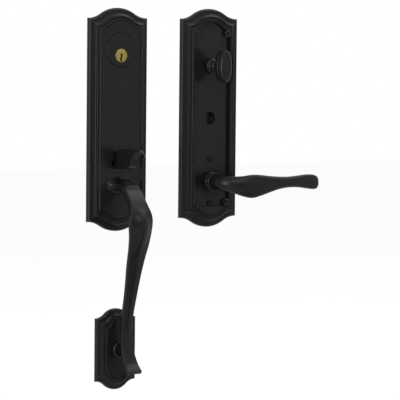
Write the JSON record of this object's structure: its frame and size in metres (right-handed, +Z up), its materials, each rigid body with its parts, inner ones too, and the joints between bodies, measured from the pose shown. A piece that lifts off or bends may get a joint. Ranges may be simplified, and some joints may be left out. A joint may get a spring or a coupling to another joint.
{
  "type": "entry door handleset",
  "caption": "Entry door handleset: outside plate with key cylinder, thumb latch and bow grip, and inside plate with turn piece and lever.",
  "frame": {"origin": "centre of the outside escutcheon's back, on the face of the door", "axes": "+X runs across the door from the outside half towards the inside half, +Y runs into the door, +Z runs up it"},
  "size_m": [0.2802, 0.0975, 0.4138],
  "materials": {
    "dark_bronze": "satin",
    "brass": "satin",
    "steel": "zinc plated",
    "spring_steel": "bare"
  },
  "bodies": {
    "trim": {"exterior_plate": "dark_bronze", "upper_left_post": "steel", "upper_right_post": "steel", "lower_left_post": "steel", "lower_right_post": "steel", "cylinder_shell": "dark_bronze", "thumb_bracket": "steel", "thumb_pivot_pin": "steel", "left_pin_clip": "spring_steel", "right_pin_clip": "spring_steel", "thumb_spring": "spring_steel", "left_bracket_screw": "steel", "right_bracket_screw": "steel", "grip_handle": "dark_bronze", "grip_foot_collar": "dark_bronze", "grip_top_bolt": "steel", "grip_top_washer": "steel", "grip_foot_bolt": "steel", "grip_foot_washer": "steel", "lower_plate": "dark_bronze", "interior_plate": "dark_bronze", "upper_left_screw": "dark_bronze", "upper_right_screw": "dark_bronze", "lower_left_screw": "dark_bronze", "lower_right_screw": "dark_bronze", "turn_collar": "dark_bronze", "turn_spring_washer": "spring_steel", "lever_collar": "dark_bronze", "spring_housing": "steel", "spring_housing_lid": "steel", "lever_return_spring": "spring_steel", "upper_housing_screw": "steel", "lower_housing_screw": "steel"},
    "key_plug": {"key_plug": "brass", "cylinder_cam": "brass", "left_cam_screw": "steel", "right_cam_screw": "steel"},
    "thumb_lever": {"thumb_lever": "dark_bronze"},
    "turn_knob": {"turn_knob": "dark_bronze", "turn_spindle": "steel", "turn_spindle_pin": "steel", "turn_clip": "spring_steel"},
    "lever": {"lever": "dark_bronze", "lever_spindle": "steel", "lever_set_screw": "steel", "lever_clip": "spring_steel", "return_cam": "steel"}
  },
  "joints": [
    {"name": "key_turn", "type": "hinge", "parent": "trim", "child": "key_plug", "pos_m": [0, 0, 0.0693], "axis": [0, 1, 0], "range_deg": [-90, 90]},
    {"name": "thumb_latch", "type": "hinge", "parent": "trim", "child": "thumb_lever", "pos_m": [0, 0.0015, -0.045], "axis": [1, 0, 0], "range_deg": [0, 12], "stiffness_Nm_per_rad": 0.2, "springref_deg": -22.92, "deforming": ["thumb_spring"]},
    {"name": "turn_piece", "type": "hinge", "parent": "trim", "child": "turn_knob", "pos_m": [0.1225, 0, 0.0578], "axis": [0, -1, 0], "range_deg": [0, 90]},
    {"name": "lever_turn", "type": "hinge", "parent": "trim", "child": "lever", "pos_m": [0.1225, 0, -0.07], "axis": [0, 1, 0], "range_deg": [0, 50], "stiffness_Nm_per_rad": 1.2, "springref_deg": -22.92, "deforming": ["lever_return_spring"]}
  ]
}
